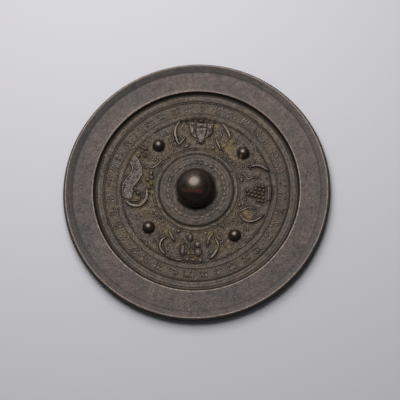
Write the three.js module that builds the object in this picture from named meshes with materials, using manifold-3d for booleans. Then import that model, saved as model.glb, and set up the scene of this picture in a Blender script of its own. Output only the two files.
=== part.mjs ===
// A cast bronze mirror that lies on its slightly domed reflecting face, with the decorated back up.
// Millimetres, +Z up. The origin is the middle of the small flat spot that the mirror rests on, and the
// cord hole through the knob runs along X. Disc, rim, knob, nipples and figures are one casting.
import * as THREE from "three";
import { mergeVertices } from "three/addons/utils/BufferGeometryUtils.js";
import Module from "manifold-3d";

const wasm = await Module();
wasm.setup();

// ---- Disc ----
const FACE_RADIUS = 110; // the reflecting face, which is the widest part
const FLAT_SPOT_RADIUS = 28; // the flat spot that the mirror rests on
const CROWN_RADIUS = 1150; // the sphere that the reflecting face is part of
const BACK_CROWN_RADIUS = 1900; // the flatter sphere that the ground of the back follows
const PLATE = 2.8; // metal between the flat spot and the ground of the figures
const DISC_SIDES = 52;

// ---- Rim ----
const WALL_FOOT_RADIUS = 83; // where the ground meets the wall up to the rim
const RIM_INNER_RADIUS = 85;
const RIM_RISE = 3.2; // the flat rim above the ground
const CREASE_RADIUS = 101.4; // where the flat rim turns up towards the ridge
const RIDGE_RADIUS = 108;
const RIDGE_RISE = 1.2; // the ridge above the flat rim
const RIDGE_HALF = 0.3;
const EDGE_ROUND = 0.5;

// ---- Knob and its seat ----
const SEAT_RADIUS = 30.4;
const SEAT_RISE = 0.9;
const KNOB_RADIUS = 16.4;
const KNOB_STILT = 4; // the knob rises straight by this much before its dome starts
const KNOB_SHIFT = 0.7; // the knob was cast this far off the middle, towards +Y
const KNOB_SIDES = 24;
const HOLE_WIDTH = 8.4;
const HOLE_HEIGHT = 6.4;
const KNOB_BEAD_RING = 24.4;
const KNOB_BEADS = 32;
const KNOB_BEAD_RADIUS = 1.15;
const KNOB_BEAD_RISE = 0.7;

// ---- Rings round the back: middle radius, half width, rise above the ground beside them, and half
// width of the flat crest, where a thin ring has none ----
const SEAT_RINGS = [
  { radius: 20.9, half: 0.7, rise: 0.4, crest: 0 },
  { radius: 26.6, half: 0.7, rise: 0.4, crest: 0 },
];
const GROUND_RINGS = [
  { radius: 33.2, half: 1.6, rise: 0.45, crest: 0 },
  { radius: 63.7, half: 3, rise: 0.5, crest: 2.4 },
  { radius: 76.1, half: 0.8, rise: 0.5, crest: 0 },
];
const COMB_BAND = { radius: 79.9, half: 2.3, rise: 0.35, crest: 2 };

// ---- Nipples ----
const NIPPLES = 4;
const NIPPLE_CIRCLE = 50.1;
const NIPPLE_TURN = 29.2; // degrees from +X to the first nipple
const NIPPLE_RADIUS = 5.3;
const NIPPLE_SEAT_RADIUS = 8.4;
const NIPPLE_SEAT_RISE = 0.35;

// ---- Band of signs ----
const SIGNS = 36;
const SIGN_CIRCLE = 70.9;
const SIGN_HEIGHT = 5.2;
const SIGN_WIDTH = 4.6;
const SIGN_STROKE = 1.2;
const SIGN_LEAN = 1.3; // how far the strokes of a sign lean to the side over its height
const SIGN_RISE = 0.45;

// ---- Relief of the figures ----
const RELIEF = 1.7; // a bold stroke above the ground
const LOW_RELIEF = 0.9;
const BEVEL = 0.35; // the softened top edge of a cast stroke
const ROOT = 1.2; // how far every raised form runs down into the plate
const BEAD_RADIUS = 1.45;
const DEITY_UP_TURN = 75; // degrees from +X to the middle line of each figure
const DEITY_DOWN_TURN = 255;
const BEAST_TURN = 190;
const BIRD_TURN = 348;

const radians = THREE.MathUtils.degToRad;

// Height of the reflecting face at a radius: flat in the middle, then part of a large sphere.
function faceHeight(radius) {
  return Math.max(0, radius ** 2 - FLAT_SPOT_RADIUS ** 2) / (2 * CROWN_RADIUS);
}

// Height of the ground of the figures at a radius: the plate grows thinner towards the rim.
function groundHeight(radius) {
  return PLATE + Math.max(0, radius ** 2 - FLAT_SPOT_RADIUS ** 2) / (2 * BACK_CROWN_RADIUS);
}

// ---- Solids ----
function solid(geometry) {
  const bare = geometry.index ? geometry.toNonIndexed() : geometry.clone();
  bare.deleteAttribute("normal");
  bare.deleteAttribute("uv");
  const merged = mergeVertices(bare, 1e-4);
  return new wasm.Manifold(
    new wasm.Mesh({
      numProp: 3,
      vertProperties: merged.attributes.position.array,
      triVerts: new Uint32Array(merged.index.array),
    }),
  );
}

function geometryOf(body) {
  const mesh = body.getMesh();
  const geometry = new THREE.BufferGeometry();
  geometry.setAttribute("position", new THREE.BufferAttribute(mesh.vertProperties, 3));
  geometry.setIndex(new THREE.BufferAttribute(mesh.triVerts, 1));
  geometry.computeVertexNormals();
  return geometry;
}

function joined(bodies) {
  return bodies.reduce((sum, body) => sum.add(body));
}

// A round form turned about Z from its outline of [radius, height] points, from the top to the bottom.
function turned(outline, sides) {
  const points = outline.map(([radius, height]) => new THREE.Vector2(radius, height)).reverse();
  return new THREE.LatheGeometry(points, sides).rotateX(Math.PI / 2);
}

// ---- Disc with its rings and rim, as one outline from the axis on top to the axis below ----
function ringPoints(ring, ground) {
  const { radius, half, rise, crest } = ring;
  const height = ground(radius) + rise;
  const top = crest ? [[radius - crest, height], [radius + crest, height]] : [[radius, height]];
  return [[radius - half, ground(radius - half)], ...top, [radius + half, ground(radius + half)]];
}

function discOutline() {
  const seat = (radius) => groundHeight(radius) + SEAT_RISE;
  const rim = (radius) => groundHeight(radius) + RIM_RISE;
  const ridge = rim(CREASE_RADIUS) + RIDGE_RISE;
  const edge = faceHeight(FACE_RADIUS);
  const top = [
    [0, seat(0)],
    ...SEAT_RINGS.flatMap((ring) => ringPoints(ring, seat)),
    [SEAT_RADIUS - EDGE_ROUND, seat(SEAT_RADIUS)],
    [SEAT_RADIUS, groundHeight(SEAT_RADIUS)],
    ...GROUND_RINGS.flatMap((ring) => ringPoints(ring, groundHeight)),
    ...ringPoints(COMB_BAND, groundHeight).slice(0, 3),
    [WALL_FOOT_RADIUS, groundHeight(WALL_FOOT_RADIUS)],
    [RIM_INNER_RADIUS - EDGE_ROUND, rim(RIM_INNER_RADIUS) - EDGE_ROUND],
    [RIM_INNER_RADIUS + EDGE_ROUND, rim(RIM_INNER_RADIUS)],
    [CREASE_RADIUS, rim(CREASE_RADIUS)],
    [RIDGE_RADIUS - RIDGE_HALF, ridge],
    [RIDGE_RADIUS + RIDGE_HALF, ridge - RIDGE_HALF],
    [FACE_RADIUS, edge + 2 * EDGE_ROUND],
    [FACE_RADIUS - EDGE_ROUND, edge],
  ];
  const belly = (FACE_RADIUS + FLAT_SPOT_RADIUS) / 2;
  return [...top, [belly, faceHeight(belly)], [FLAT_SPOT_RADIUS, 0], [0, 0]];
}

// A dome that stands on height zero, with a stilt under it and a root below.
function dome(radius, stilt, steps, sides) {
  const quarter = Array.from({ length: steps }, (_, i) => {
    const angle = (Math.PI / 2) * ((i + 1) / steps);
    return [radius * Math.sin(angle), stilt + radius * Math.cos(angle)];
  });
  return turned([[0, stilt + radius], ...quarter, [radius, -ROOT], [0, -ROOT]], sides);
}

// ---- Knob: a stilted dome with an arched cord hole along X ----
function knob() {
  const base = groundHeight(0) + SEAT_RISE;
  const arch = new THREE.Shape();
  const half = HOLE_WIDTH / 2;
  arch.moveTo(-half, 0);
  arch.lineTo(half, 0);
  arch.lineTo(half, HOLE_HEIGHT - half);
  arch.absarc(0, HOLE_HEIGHT - half, half, 0, Math.PI, false);
  arch.closePath();
  const length = 2 * KNOB_RADIUS + 4;
  const hole = new THREE.ExtrudeGeometry(arch, {
    depth: length,
    bevelEnabled: false,
    curveSegments: 5,
  });
  hole.translate(0, 0, -length / 2).rotateX(Math.PI / 2).rotateZ(Math.PI / 2).translate(0, 0, base);
  const body = dome(KNOB_RADIUS, KNOB_STILT, 6, KNOB_SIDES).translate(0, KNOB_SHIFT, base);
  return solid(body).subtract(solid(hole));
}

// ---- Raised forms ----
// A figure's own frame: x to the right and y outwards from the mirror's centre, turned to its place.
function placed(geometry, turn, x, y, height) {
  geometry.translate(x, y, groundHeight(Math.hypot(x, y)) + height);
  return geometry.rotateZ(radians(turn - 90));
}

// A bead: a low round boss on the ground.
function bead(turn, x, y, radius = BEAD_RADIUS, rise = RELIEF, sides = 5) {
  const boss = new THREE.CylinderGeometry(radius * 0.45, radius, rise + ROOT, sides);
  boss.rotateX(Math.PI / 2);
  return solid(placed(boss, turn, x, y, (rise - ROOT) / 2));
}

// A lobe: a long rounded swelling such as a sleeve or a haunch.
function lobe(turn, x, y, halfWidth, halfLength, lean, rise = RELIEF) {
  const swelling = new THREE.SphereGeometry(1, 8, 6);
  swelling.scale(halfWidth, halfLength, rise).rotateZ(radians(lean));
  return solid(placed(swelling, turn, x, y, 0));
}

// A flat-topped form with a softened edge from its outline.
function plateau(turn, outline, rise = RELIEF) {
  const shape = new THREE.Shape(outline.map(([x, y]) => new THREE.Vector2(x, y)));
  const bevel = rise > LOW_RELIEF ? BEVEL : 0;
  const form = new THREE.ExtrudeGeometry(shape, {
    depth: ROOT + rise - 2 * bevel,
    bevelEnabled: bevel > 0,
    bevelThickness: bevel,
    bevelSize: bevel,
    bevelOffset: -bevel,
    bevelSegments: 1,
  });
  const middle = outline.reduce((sum, [x, y]) => sum + Math.hypot(x, y), 0) / outline.length;
  form.translate(0, 0, groundHeight(middle) - ROOT + bevel);
  return solid(form.rotateZ(radians(turn - 90)));
}

// A stroke: a ridge along a smooth line through a few points, narrowed towards both ends.
function stroke(turn, line, width, rise = RELIEF, steps = 4) {
  const curve = new THREE.SplineCurve(line.map(([x, y]) => new THREE.Vector2(x, y)));
  const left = [];
  const right = [];
  for (let i = 0; i <= steps; i += 1) {
    const t = i / steps;
    const point = curve.getPoint(t);
    const along = curve.getTangent(t);
    const half = (width / 2) * (0.55 + 0.45 * Math.sin(Math.PI * t));
    left.push([point.x - along.y * half, point.y + along.x * half]);
    right.unshift([point.x + along.y * half, point.y - along.x * half]);
  }
  return plateau(turn, [...right, ...left].reverse(), rise);
}

// ---- Parts of the pattern ----
function nipples() {
  const seatTop = NIPPLE_SEAT_RISE + ROOT;
  return Array.from({ length: NIPPLES }, (_, i) => {
    const turn = NIPPLE_TURN + (360 / NIPPLES) * i;
    const seat = new THREE.CylinderGeometry(NIPPLE_SEAT_RADIUS, NIPPLE_SEAT_RADIUS, seatTop, 14);
    seat.rotateX(Math.PI / 2);
    const boss = dome(NIPPLE_RADIUS, 0, 3, 12);
    return [
      solid(placed(seat, turn, 0, NIPPLE_CIRCLE, (NIPPLE_SEAT_RISE - ROOT) / 2)),
      solid(placed(boss, turn, 0, NIPPLE_CIRCLE, 0)),
    ];
  }).flat();
}

function knobBeads() {
  return Array.from({ length: KNOB_BEADS }, (_, i) => {
    const turn = (360 / KNOB_BEADS) * i;
    return bead(turn, 0, KNOB_BEAD_RING, KNOB_BEAD_RADIUS, SEAT_RISE + KNOB_BEAD_RISE, 4);
  });
}

// A leaning bar of a sign: its middle, half length and lean, as shares of the sign's half size.
function signBar(x, y, length, lean) {
  const [w, h] = [SIGN_WIDTH / 2, SIGN_HEIGHT / 2];
  const half = SIGN_STROKE / 2;
  const sway = (lean * length * SIGN_LEAN) / 2;
  const [low, high] = [h * (y - length), h * (y + length)];
  const corners = [[-half - sway, low], [half - sway, low], [half + sway, high], [-half + sway, high]];
  return new THREE.Shape(corners.map(([dx, v]) => new THREE.Vector2(w * x + dx, v)));
}

// The band of signs: each place holds a leaning stroke with a shorter one beside it, not a letter.
function signs() {
  const forms = [
    [signBar(-0.5, 0, 1, 1), signBar(0.6, 0.2, 0.5, 1)],
    [signBar(0.5, 0, 1, -1), signBar(-0.6, -0.3, 0.6, -1)],
    [signBar(-0.6, 0.4, 0.5, 1), signBar(0.5, -0.1, 0.9, 1)],
  ];
  return Array.from({ length: SIGNS }, (_, i) => {
    const sign = new THREE.ExtrudeGeometry(forms[i % forms.length], {
      depth: SIGN_RISE + ROOT,
      bevelEnabled: false,
    });
    return solid(placed(sign, (360 / SIGNS) * (i + 0.5), 0, SIGN_CIRCLE, -ROOT));
  });
}

// A seated deity with its head to the knob, a beaded seat edge to the rim and a wing on each side.
function upperDeity() {
  const turn = DEITY_UP_TURN;
  const beads = 6;
  const seatHalf = 11.6;
  const seat = Array.from({ length: beads }, (_, i) => {
    const x = seatHalf * ((2 * i) / (beads - 1) - 1);
    return bead(turn, x - 1.5, 61.2 - 0.006 * x ** 2, 1.3, RELIEF);
  });
  return [
    ...seat,
    stroke(turn, [[-15, 59.3], [-1.5, 60.4], [12, 59.3]], 1.8, LOW_RELIEF, 2),
    plateau(turn, [[-11, 58.4], [-10, 50.5], [-7, 45.2], [-2.6, 44.6], [-2.4, 40.2], [2.2, 40.2],
      [2.6, 44.8], [6, 46], [9.2, 52], [9.4, 58.4]], RELIEF),
    lobe(turn, -8, 51, 2.2, 4.6, 10, 2.3),
    lobe(turn, -8, 56.5, 2.4, 1.5, 0, 2.3),
    lobe(turn, 6.6, 54, 2.3, 4.2, -12, 2.3),
    lobe(turn, 0, 41.8, 2, 2.2, 0, 2.3),
    stroke(turn, [[-18.6, 58.8], [-21.8, 53], [-21.8, 45.6], [-18, 38]], 2.4),
    stroke(turn, [[-18.2, 37.8], [-13.4, 44.4]], 2, RELIEF, 2),
    stroke(turn, [[-13.6, 36.6], [-10.4, 38.6]], 1.9, LOW_RELIEF, 2),
    stroke(turn, [[16.8, 58.2], [21.2, 53.4], [23.8, 46.4]], 2.6),
    stroke(turn, [[12.2, 45.2], [16.9, 36.4]], 2.1, RELIEF, 2),
    stroke(turn, [[16.9, 36.4], [24.4, 44.2]], 1.7, LOW_RELIEF, 2),
    bead(turn, 10.6, 37.6, 1.6, LOW_RELIEF),
  ];
}

function lowerDeity() {
  const turn = DEITY_DOWN_TURN;
  const feet = [[1.8, 59], [-3.2, 59], [-8.6, 58.6]];
  return [
    lobe(turn, 1, 40.5, 2.1, 3.2, 0, 2),
    lobe(turn, 6.4, 50.4, 2.2, 5.4, 0, 2),
    lobe(turn, -6.4, 50.2, 3, 6, 0, 2.3),
    stroke(turn, [[1.4, 46.6], [1.2, 55.6]], 1.6, LOW_RELIEF, 2),
    stroke(turn, [[-1.8, 46.4], [-1.8, 55.4]], 1.6, LOW_RELIEF, 2),
    ...feet.map(([x, y]) => lobe(turn, x, y, 2, 1.6, 0, RELIEF)),
    stroke(turn, [[18.6, 58], [12, 59.4], [5.4, 59.8]], 1.7, LOW_RELIEF, 3),
    stroke(turn, [[18.8, 36.4], [16.8, 40], [13.6, 44.4]], 2.1, RELIEF, 3),
    stroke(turn, [[21, 41.8], [24.8, 45.6], [24.6, 50.4], [20.4, 55.6]], 2.3),
    stroke(turn, [[-17.2, 36], [-14.4, 40.4], [-13.8, 45.6]], 2.1, RELIEF, 3),
    stroke(turn, [[-19.8, 39.8], [-22.4, 46], [-21, 51], [-17.2, 56.2]], 2.4),
    bead(turn, 11.1, 36.2, 1.6, LOW_RELIEF),
    bead(turn, -11.1, 36, 1.6, LOW_RELIEF),
  ];
}

// A long beast: a banded body that bends twice and curls into a haunch, with a small rider beside it.
function beast() {
  const turn = BEAST_TURN;
  const spine = [[43.4, 40.4], [36, 39.8], [30, 43.4], [24.6, 49.4], [19, 52.8], [13.4, 53.6]];
  const head = [[51, 31], [47.2, 31.4], [44.4, 35.4], [43.4, 31]];
  return [
    stroke(turn, spine, 8.6, LOW_RELIEF, 7),
    stroke(turn, [[43.4, 43.6], [36.6, 43.2], [31, 47.6], [25, 55.6], [13.6, 58.4]], 1.9, RELIEF, 6),
    stroke(turn, [[42.6, 37.4], [35, 36.4], [28.6, 38.4], [22.4, 45.4]], 1.9, RELIEF, 5),
    ...[40, 37, 34].map((x) => bead(turn, x, 40 + (40 - x) * 0.1, 1.2, RELIEF)),
    ...head.map(([x, y]) => lobe(turn, x, y, 2.2, 1.8, 30, RELIEF)),
    stroke(turn, [[11, 57], [5.8, 54], [3.8, 48], [6, 42.2], [14.4, 38.2]], 2.8, RELIEF, 7),
    stroke(turn, [[13.4, 51], [16.6, 49], [16.4, 45.4]], 1.7, LOW_RELIEF, 3),
    bead(turn, 14.4, 44.6, 1.5, RELIEF),
    lobe(turn, 26.4, 30.4, 1.6, 2.4, 60, RELIEF),
    lobe(turn, 23, 33, 3, 2.2, 30, RELIEF),
    lobe(turn, 16.6, 35.4, 3, 1.7, 10, RELIEF),
    stroke(turn, [[33, 35], [32.6, 30.4], [31, 27], [33.2, 20.8], [34.8, 16]], 1.8, LOW_RELIEF, 6),
  ];
}

// A phoenix: a body of beads like feathers, crescent wings and a flat tail bar by the rim.
function bird() {
  const turn = BIRD_TURN;
  const pitch = 3.4;
  const rows = 4;
  const feathers = Array.from({ length: rows ** 2 }, (_, i) => {
    const [row, place] = [Math.floor(i / rows), i % rows];
    const x = 1.6 + pitch * (row - 1.5) + 0.9 * (place - 1.5);
    return bead(turn, x, 43.6 + pitch * (place + 0.2) + 0.5 * row, BEAD_RADIUS, RELIEF, 4);
  });
  return [
    ...feathers,
    stroke(turn, [[-20.2, 44.6], [-22.2, 49], [-20.8, 54.4], [-18.2, 58.8]], 2.3),
    stroke(turn, [[-15.4, 35.4], [-14.6, 39.4], [-10.4, 42], [-12.2, 47], [-12.2, 51.4]], 1.7, LOW_RELIEF),
    stroke(turn, [[-4, 61], [6.8, 61]], 2, RELIEF, 2),
    stroke(turn, [[18.8, 35.4], [24.4, 39.8], [25.4, 46], [20.4, 56]], 2.2),
    stroke(turn, [[18.6, 35.4], [14.6, 42], [14.8, 50]], 1.7, LOW_RELIEF, 3),
    bead(turn, -9.7, 37.2, 1.6, LOW_RELIEF),
    bead(turn, 11.6, 36.4, 1.6, LOW_RELIEF),
  ];
}

// ---- The part ----
const raised = [
  ...nipples(),
  ...knobBeads(),
  ...signs(),
  ...upperDeity(),
  ...lowerDeity(),
  ...beast(),
  ...bird(),
];
const casting = joined([solid(turned(discOutline(), DISC_SIDES)), knob(), ...raised]);

const bronze = new THREE.MeshStandardMaterial({ color: 0x58504b, roughness: 0.5, metalness: 0.85 });
const mirror = new THREE.Mesh(geometryOf(casting), bronze);
mirror.name = "mirror";

const part = new THREE.Group();
part.add(mirror);
export default part;
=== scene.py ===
# The looks of a cast bronze mirror that lies on its reflecting face, decorated back up: one casting with
# its rings, knob, nipples, figures, signs and comb band, its patina, and a plain studio round it.
import math

import bmesh
import bpy
import numpy as np
from mathutils import Matrix, Vector


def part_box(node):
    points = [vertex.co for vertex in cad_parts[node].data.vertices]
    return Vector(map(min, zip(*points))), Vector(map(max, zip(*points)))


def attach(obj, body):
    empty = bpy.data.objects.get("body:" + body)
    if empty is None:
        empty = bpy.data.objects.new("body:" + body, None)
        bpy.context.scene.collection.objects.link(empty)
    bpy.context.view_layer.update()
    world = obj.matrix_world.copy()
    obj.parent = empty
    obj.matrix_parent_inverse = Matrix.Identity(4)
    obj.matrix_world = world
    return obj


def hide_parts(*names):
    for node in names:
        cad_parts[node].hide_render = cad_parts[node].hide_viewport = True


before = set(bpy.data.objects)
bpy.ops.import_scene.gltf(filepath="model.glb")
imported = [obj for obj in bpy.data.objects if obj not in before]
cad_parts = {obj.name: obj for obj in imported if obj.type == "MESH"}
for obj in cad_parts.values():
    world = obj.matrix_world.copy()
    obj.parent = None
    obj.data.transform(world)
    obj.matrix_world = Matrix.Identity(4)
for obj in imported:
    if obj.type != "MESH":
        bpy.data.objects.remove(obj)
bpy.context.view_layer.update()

# ---- Sizes of the casting, in millimetres ----
MM = 0.001
low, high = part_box("mirror")
FACE_RADIUS = high.x / MM  # the reflecting face, which is the widest part
KNOB_TOP = high.z / MM

FLAT_SPOT_RADIUS = 28  # the flat spot that the mirror rests on
CROWN_RADIUS = 1150  # the sphere that the reflecting face is part of
BACK_CROWN_RADIUS = 1900  # the flatter sphere that the ground of the back follows
PLATE = 2.8  # metal between the flat spot and the ground of the figures
SEAT_RADIUS = 30.4  # the round seat of the knob
SEAT_RISE = 0.9
WALL_FOOT_RADIUS = 83
WALL_BEND_RADIUS = 84.1  # the wall is hollow: low up to here, then steep
RIM_INNER_RADIUS = 85
RIM_RISE = 3.2
CREASE_RADIUS = 101.4  # where the flat rim turns up towards the ridge
RIDGE_RADIUS = 108
RIDGE_RISE = 1.2
RIDGE_HALF = 0.3
EDGE_ROUND = 0.5
WORN_ROUND = 0.22  # how far worn corners are rounded over

KNOB_RADIUS = 16.4
KNOB_SHIFT = 0.7  # the knob was cast this far off the middle, towards +Y
KNOB_STILT = KNOB_TOP - PLATE - SEAT_RISE - KNOB_RADIUS
CORE_RADIUS = 12  # the level disc inside the knob's foot
HOLE_WIDTH = 8.4
HOLE_HEIGHT = 6.4
KNOB_BEAD_RING = 23.6
KNOB_BEADS = 32
ROOT = 1.2  # how deep the knob and nipples reach into the plate

NIPPLES = 4
NIPPLE_CIRCLE = 50.1
NIPPLE_TURN = 29.2
NIPPLE_RADIUS = 5.3
NIPPLE_SEAT_RADIUS = 8.4
NIPPLE_SEAT_RISE = 0.35

SIGNS = 36
SIGN_CIRCLE = 70.9
SIGN_IN, SIGN_OUT = 67, 75
FIGURE_IN, FIGURE_OUT = 35.4, 60.6  # the ground of the figures
COMB_IN, COMB_OUT = 77.9, 82.1
COMB_TEETH = 360
COMB_RISE = 0.14
SCROLLS = 56  # worn scrolls along the rim
SCROLL_CIRCLE = 94
SCROLL_REACH = 4.6
SCROLL_PITCH = 2.2
CHASED_PITCH = 1.7
CHASED_RISE = 0.42
TICK_RISE = 0.14  # fine roughness between the signs

RELIEF = 1.7  # a bold stroke above the ground
LOW_RELIEF = 0.9
REACH = 5  # how far round a form the chased lines follow it
DEITY_UP_TURN = 75
DEITY_DOWN_TURN = 255
BEAST_TURN = 190
BIRD_TURN = 348

# Raised rings: middle radius, half width, rise, half width of the flat crest
RINGS = [
    (20.9, 0.6, 0.22, 0.1),
    (26.3, 0.6, 0.24, 0.1),
    (28.4, 0.45, 0.16, 0.1),
    (30.3, 0.7, 0.3, 0.2),
    (33.4, 1.5, 0.3, 0.9),
    (61.4, 0.7, 0.55, 0.15),
    (63.75, 2.4, 0.2, 1.9),
    (66.1, 0.7, 0.5, 0.15),
    (76.1, 0.7, 0.55, 0.15),
    (77.7, 0.45, 0.25, 0.1),
    (80.1, 2.3, 0.35, 1.9),
]
# Cut lines: radius, half width, depth
LINES = [(35.3, 0.4, 0.2)]


# ---- Outline of the casting ----
def stops(value, *pairs):
    """A value followed through pairs of (value, result), level beyond the last ones."""
    return np.interp(value, *zip(*pairs))


def face_height(radius):
    """Height of the reflecting face: flat in the middle, then part of a large sphere."""
    return np.maximum(0, radius**2 - FLAT_SPOT_RADIUS**2) / (2 * CROWN_RADIUS)


def ground_height(radius):
    """Height of the ground of the figures: the plate grows thinner towards the rim."""
    return PLATE + np.maximum(0, radius**2 - FLAT_SPOT_RADIUS**2) / (2 * BACK_CROWN_RADIUS)


def sharp_back_height(radius):
    """Height of the decorated back at a radius, with sharp corners and no figures."""
    height = ground_height(radius)
    height = height + stops(radius, (SEAT_RADIUS - EDGE_ROUND - 0.4, SEAT_RISE), (SEAT_RADIUS + 0.3, 0))
    height = height + stops(radius, (WALL_FOOT_RADIUS, 0), (WALL_BEND_RADIUS, 0.3 * RIM_RISE),
                            (RIM_INNER_RADIUS, RIM_RISE))
    for middle, half, rise, crest in RINGS:
        height = height + stops(radius, (middle - half, 0), (middle - crest, rise),
                                (middle + crest, rise), (middle + half, 0))
    for middle, half, depth in LINES:
        height = height - stops(radius, (middle - half, 0), (middle, depth), (middle + half, 0))
    outer_side = RIDGE_RADIUS + RIDGE_HALF
    outer_rise = RIDGE_RISE - RIDGE_HALF
    height = height + stops(radius, (CREASE_RADIUS, 0), (RIDGE_RADIUS - RIDGE_HALF, RIDGE_RISE),
                            (outer_side, outer_rise))
    top = ground_height(FACE_RADIUS) + RIM_RISE + outer_rise
    foot = face_height(FACE_RADIUS) + 2 * EDGE_ROUND
    bevel = stops(radius, (outer_side, 0), (FACE_RADIUS, top - foot))
    return height - bevel


def back_height(radius):
    """The same outline with its corners worn round."""
    spread = np.linspace(-WORN_ROUND, WORN_ROUND, 5)
    return sum(sharp_back_height(np.minimum(radius + s, FACE_RADIUS)) for s in spread) / len(spread)


# ---- Relief: forms raised on the ground, in a figure's own frame ----
def smooth_line(points, steps=6):
    """A smooth line through a few points."""
    p = np.array([points[0], *points, points[-1]], float)
    t = np.linspace(0, 1, steps, endpoint=False)[:, None]
    out = []
    for a, b, c, d in zip(p, p[1:], p[2:], p[3:]):
        out.append(0.5 * (2 * b + (c - a) * t + (2 * a - 5 * b + 4 * c - d) * t**2
                          + (3 * b - a - 3 * c + d) * t**3))
    return np.vstack([*out, p[-1:]])


def soft_step(value):
    """0 below 0, 1 above 1, with soft ends."""
    v = np.clip(value, 0, 1)
    return v * v * (3 - 2 * v)


def polar(x, y):
    """Radius and turn, in radians, of points in the plane of the mirror."""
    return np.hypot(x, y), np.arctan2(y, x)


def between(value, low, high, soft):
    """1 inside a range and 0 outside it, with soft ends."""
    return soft_step((value - low) / soft) * soft_step((high - value) / soft)


class Relief:
    """Heights over the ground at points in millimetres, gathered form by form."""

    def __init__(self, x, y):
        self.plane_x, self.plane_y = x, y
        self.x, self.y = x, y
        self.height = np.zeros_like(x)
        self.clear = np.full_like(x, 99.0)  # distance to the edge of the nearest form

    def turn_to(self, turn):
        """Works in the frame whose y points outwards at this angle, with x to the right."""
        a = math.radians(turn - 90)
        self.x = self.plane_x * math.cos(a) + self.plane_y * math.sin(a)
        self.y = -self.plane_x * math.sin(a) + self.plane_y * math.cos(a)

    def near(self, points, reach):
        p = np.asarray(points, float)
        (x0, y0), (x1, y1) = p.min(0) - reach, p.max(0) + reach
        return np.nonzero((self.x > x0) & (self.x < x1) & (self.y > y0) & (self.y < y1))[0]

    def lift(self, index, height):
        self.height[index] = np.maximum(self.height[index], height)

    def keep_clear(self, index, gap):
        self.clear[index] = np.minimum(self.clear[index], gap)

    def line_distance(self, index, line):
        """Distance to a line and the place along it, from 0 to 1."""
        x, y = self.x[index], self.y[index]
        best = np.full(len(index), 1e9)
        place = np.zeros(len(index))
        count = len(line) - 1
        for i, (a, b) in enumerate(zip(line, line[1:])):
            d = b - a
            t = np.clip(((x - a[0]) * d[0] + (y - a[1]) * d[1]) / max(d @ d, 1e-9), 0, 1)
            gap = np.hypot(x - a[0] - t * d[0], y - a[1] - t * d[1])
            closer = gap < best
            best[closer] = gap[closer]
            place[closer] = (i + t[closer]) / count
        return best, place

    def along(self, points, reach):
        """What lies near a smooth line, with its distance to it and its place along it."""
        line = smooth_line(points)
        index = self.near(line, reach)
        return index, *self.line_distance(index, line)

    def stroke(self, points, width, rise=RELIEF, flank=0.8, thin=0.55):
        """A raised stroke with a level crest, narrowed to a share of its width at its ends."""
        index, gap, place = self.along(points, width / 2 + REACH)
        bulge = np.sin(np.pi * place) ** 0.6
        half = width / 2 * (thin + (1 - thin) * bulge)
        self.keep_clear(index, gap - half)
        self.lift(index, rise * (0.75 + 0.25 * bulge) * soft_step((half - gap) / flank + 0.25))

    def ridge(self, points, width, rise=LOW_RELIEF):
        """A thin round line."""
        index, gap, _ = self.along(points, width)
        self.lift(index, rise * np.sqrt(np.clip(1 - (2 * gap / width) ** 2, 0, 1)))

    def cut(self, points, width, depth):
        """A cut line in whatever is already there."""
        index, gap, _ = self.along(points, width)
        self.height[index] -= depth * soft_step(1 - 2 * gap / width)

    def bead(self, x, y, radius=1.45, rise=RELIEF):
        index = self.near([(x, y)], radius + REACH)
        gap = np.hypot(self.x[index] - x, self.y[index] - y) / radius
        self.keep_clear(index, (gap - 1) * radius)
        self.lift(index, rise * np.clip(1 - gap**2, 0, 1) ** 0.6)

    def lobe(self, x, y, half_width, half_length, lean, rise=RELIEF):
        """A round-topped oval."""
        index = self.near([(x, y)], max(half_width, half_length))
        a = math.radians(lean)
        dx, dy = self.x[index] - x, self.y[index] - y
        u = (dx * math.cos(a) + dy * math.sin(a)) / half_width
        v = (-dx * math.sin(a) + dy * math.cos(a)) / half_length
        self.lift(index, rise * np.clip(1 - u**2 - v**2, 0, 1) ** 0.55)

    def plateau(self, outline, rise=RELIEF, flank=0.9):
        """A level form inside an outline, with soft flanks."""
        closed = np.array([*outline, outline[0]], float)
        index = self.near(closed, 0.5)
        x, y = self.x[index], self.y[index]
        inside = np.zeros(len(index), bool)
        for (x0, y0), (x1, y1) in zip(closed, closed[1:]):
            crosses = (y0 > y) != (y1 > y)
            inside ^= crosses & (x < (x1 - x0) * (y - y0) / (y1 - y0 + 1e-12) + x0)
        gap, _ = self.line_distance(index, closed)
        self.keep_clear(index, np.where(inside, -gap, gap))
        self.lift(index, np.where(inside, rise * soft_step(gap / flank + 0.3), 0))


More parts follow.
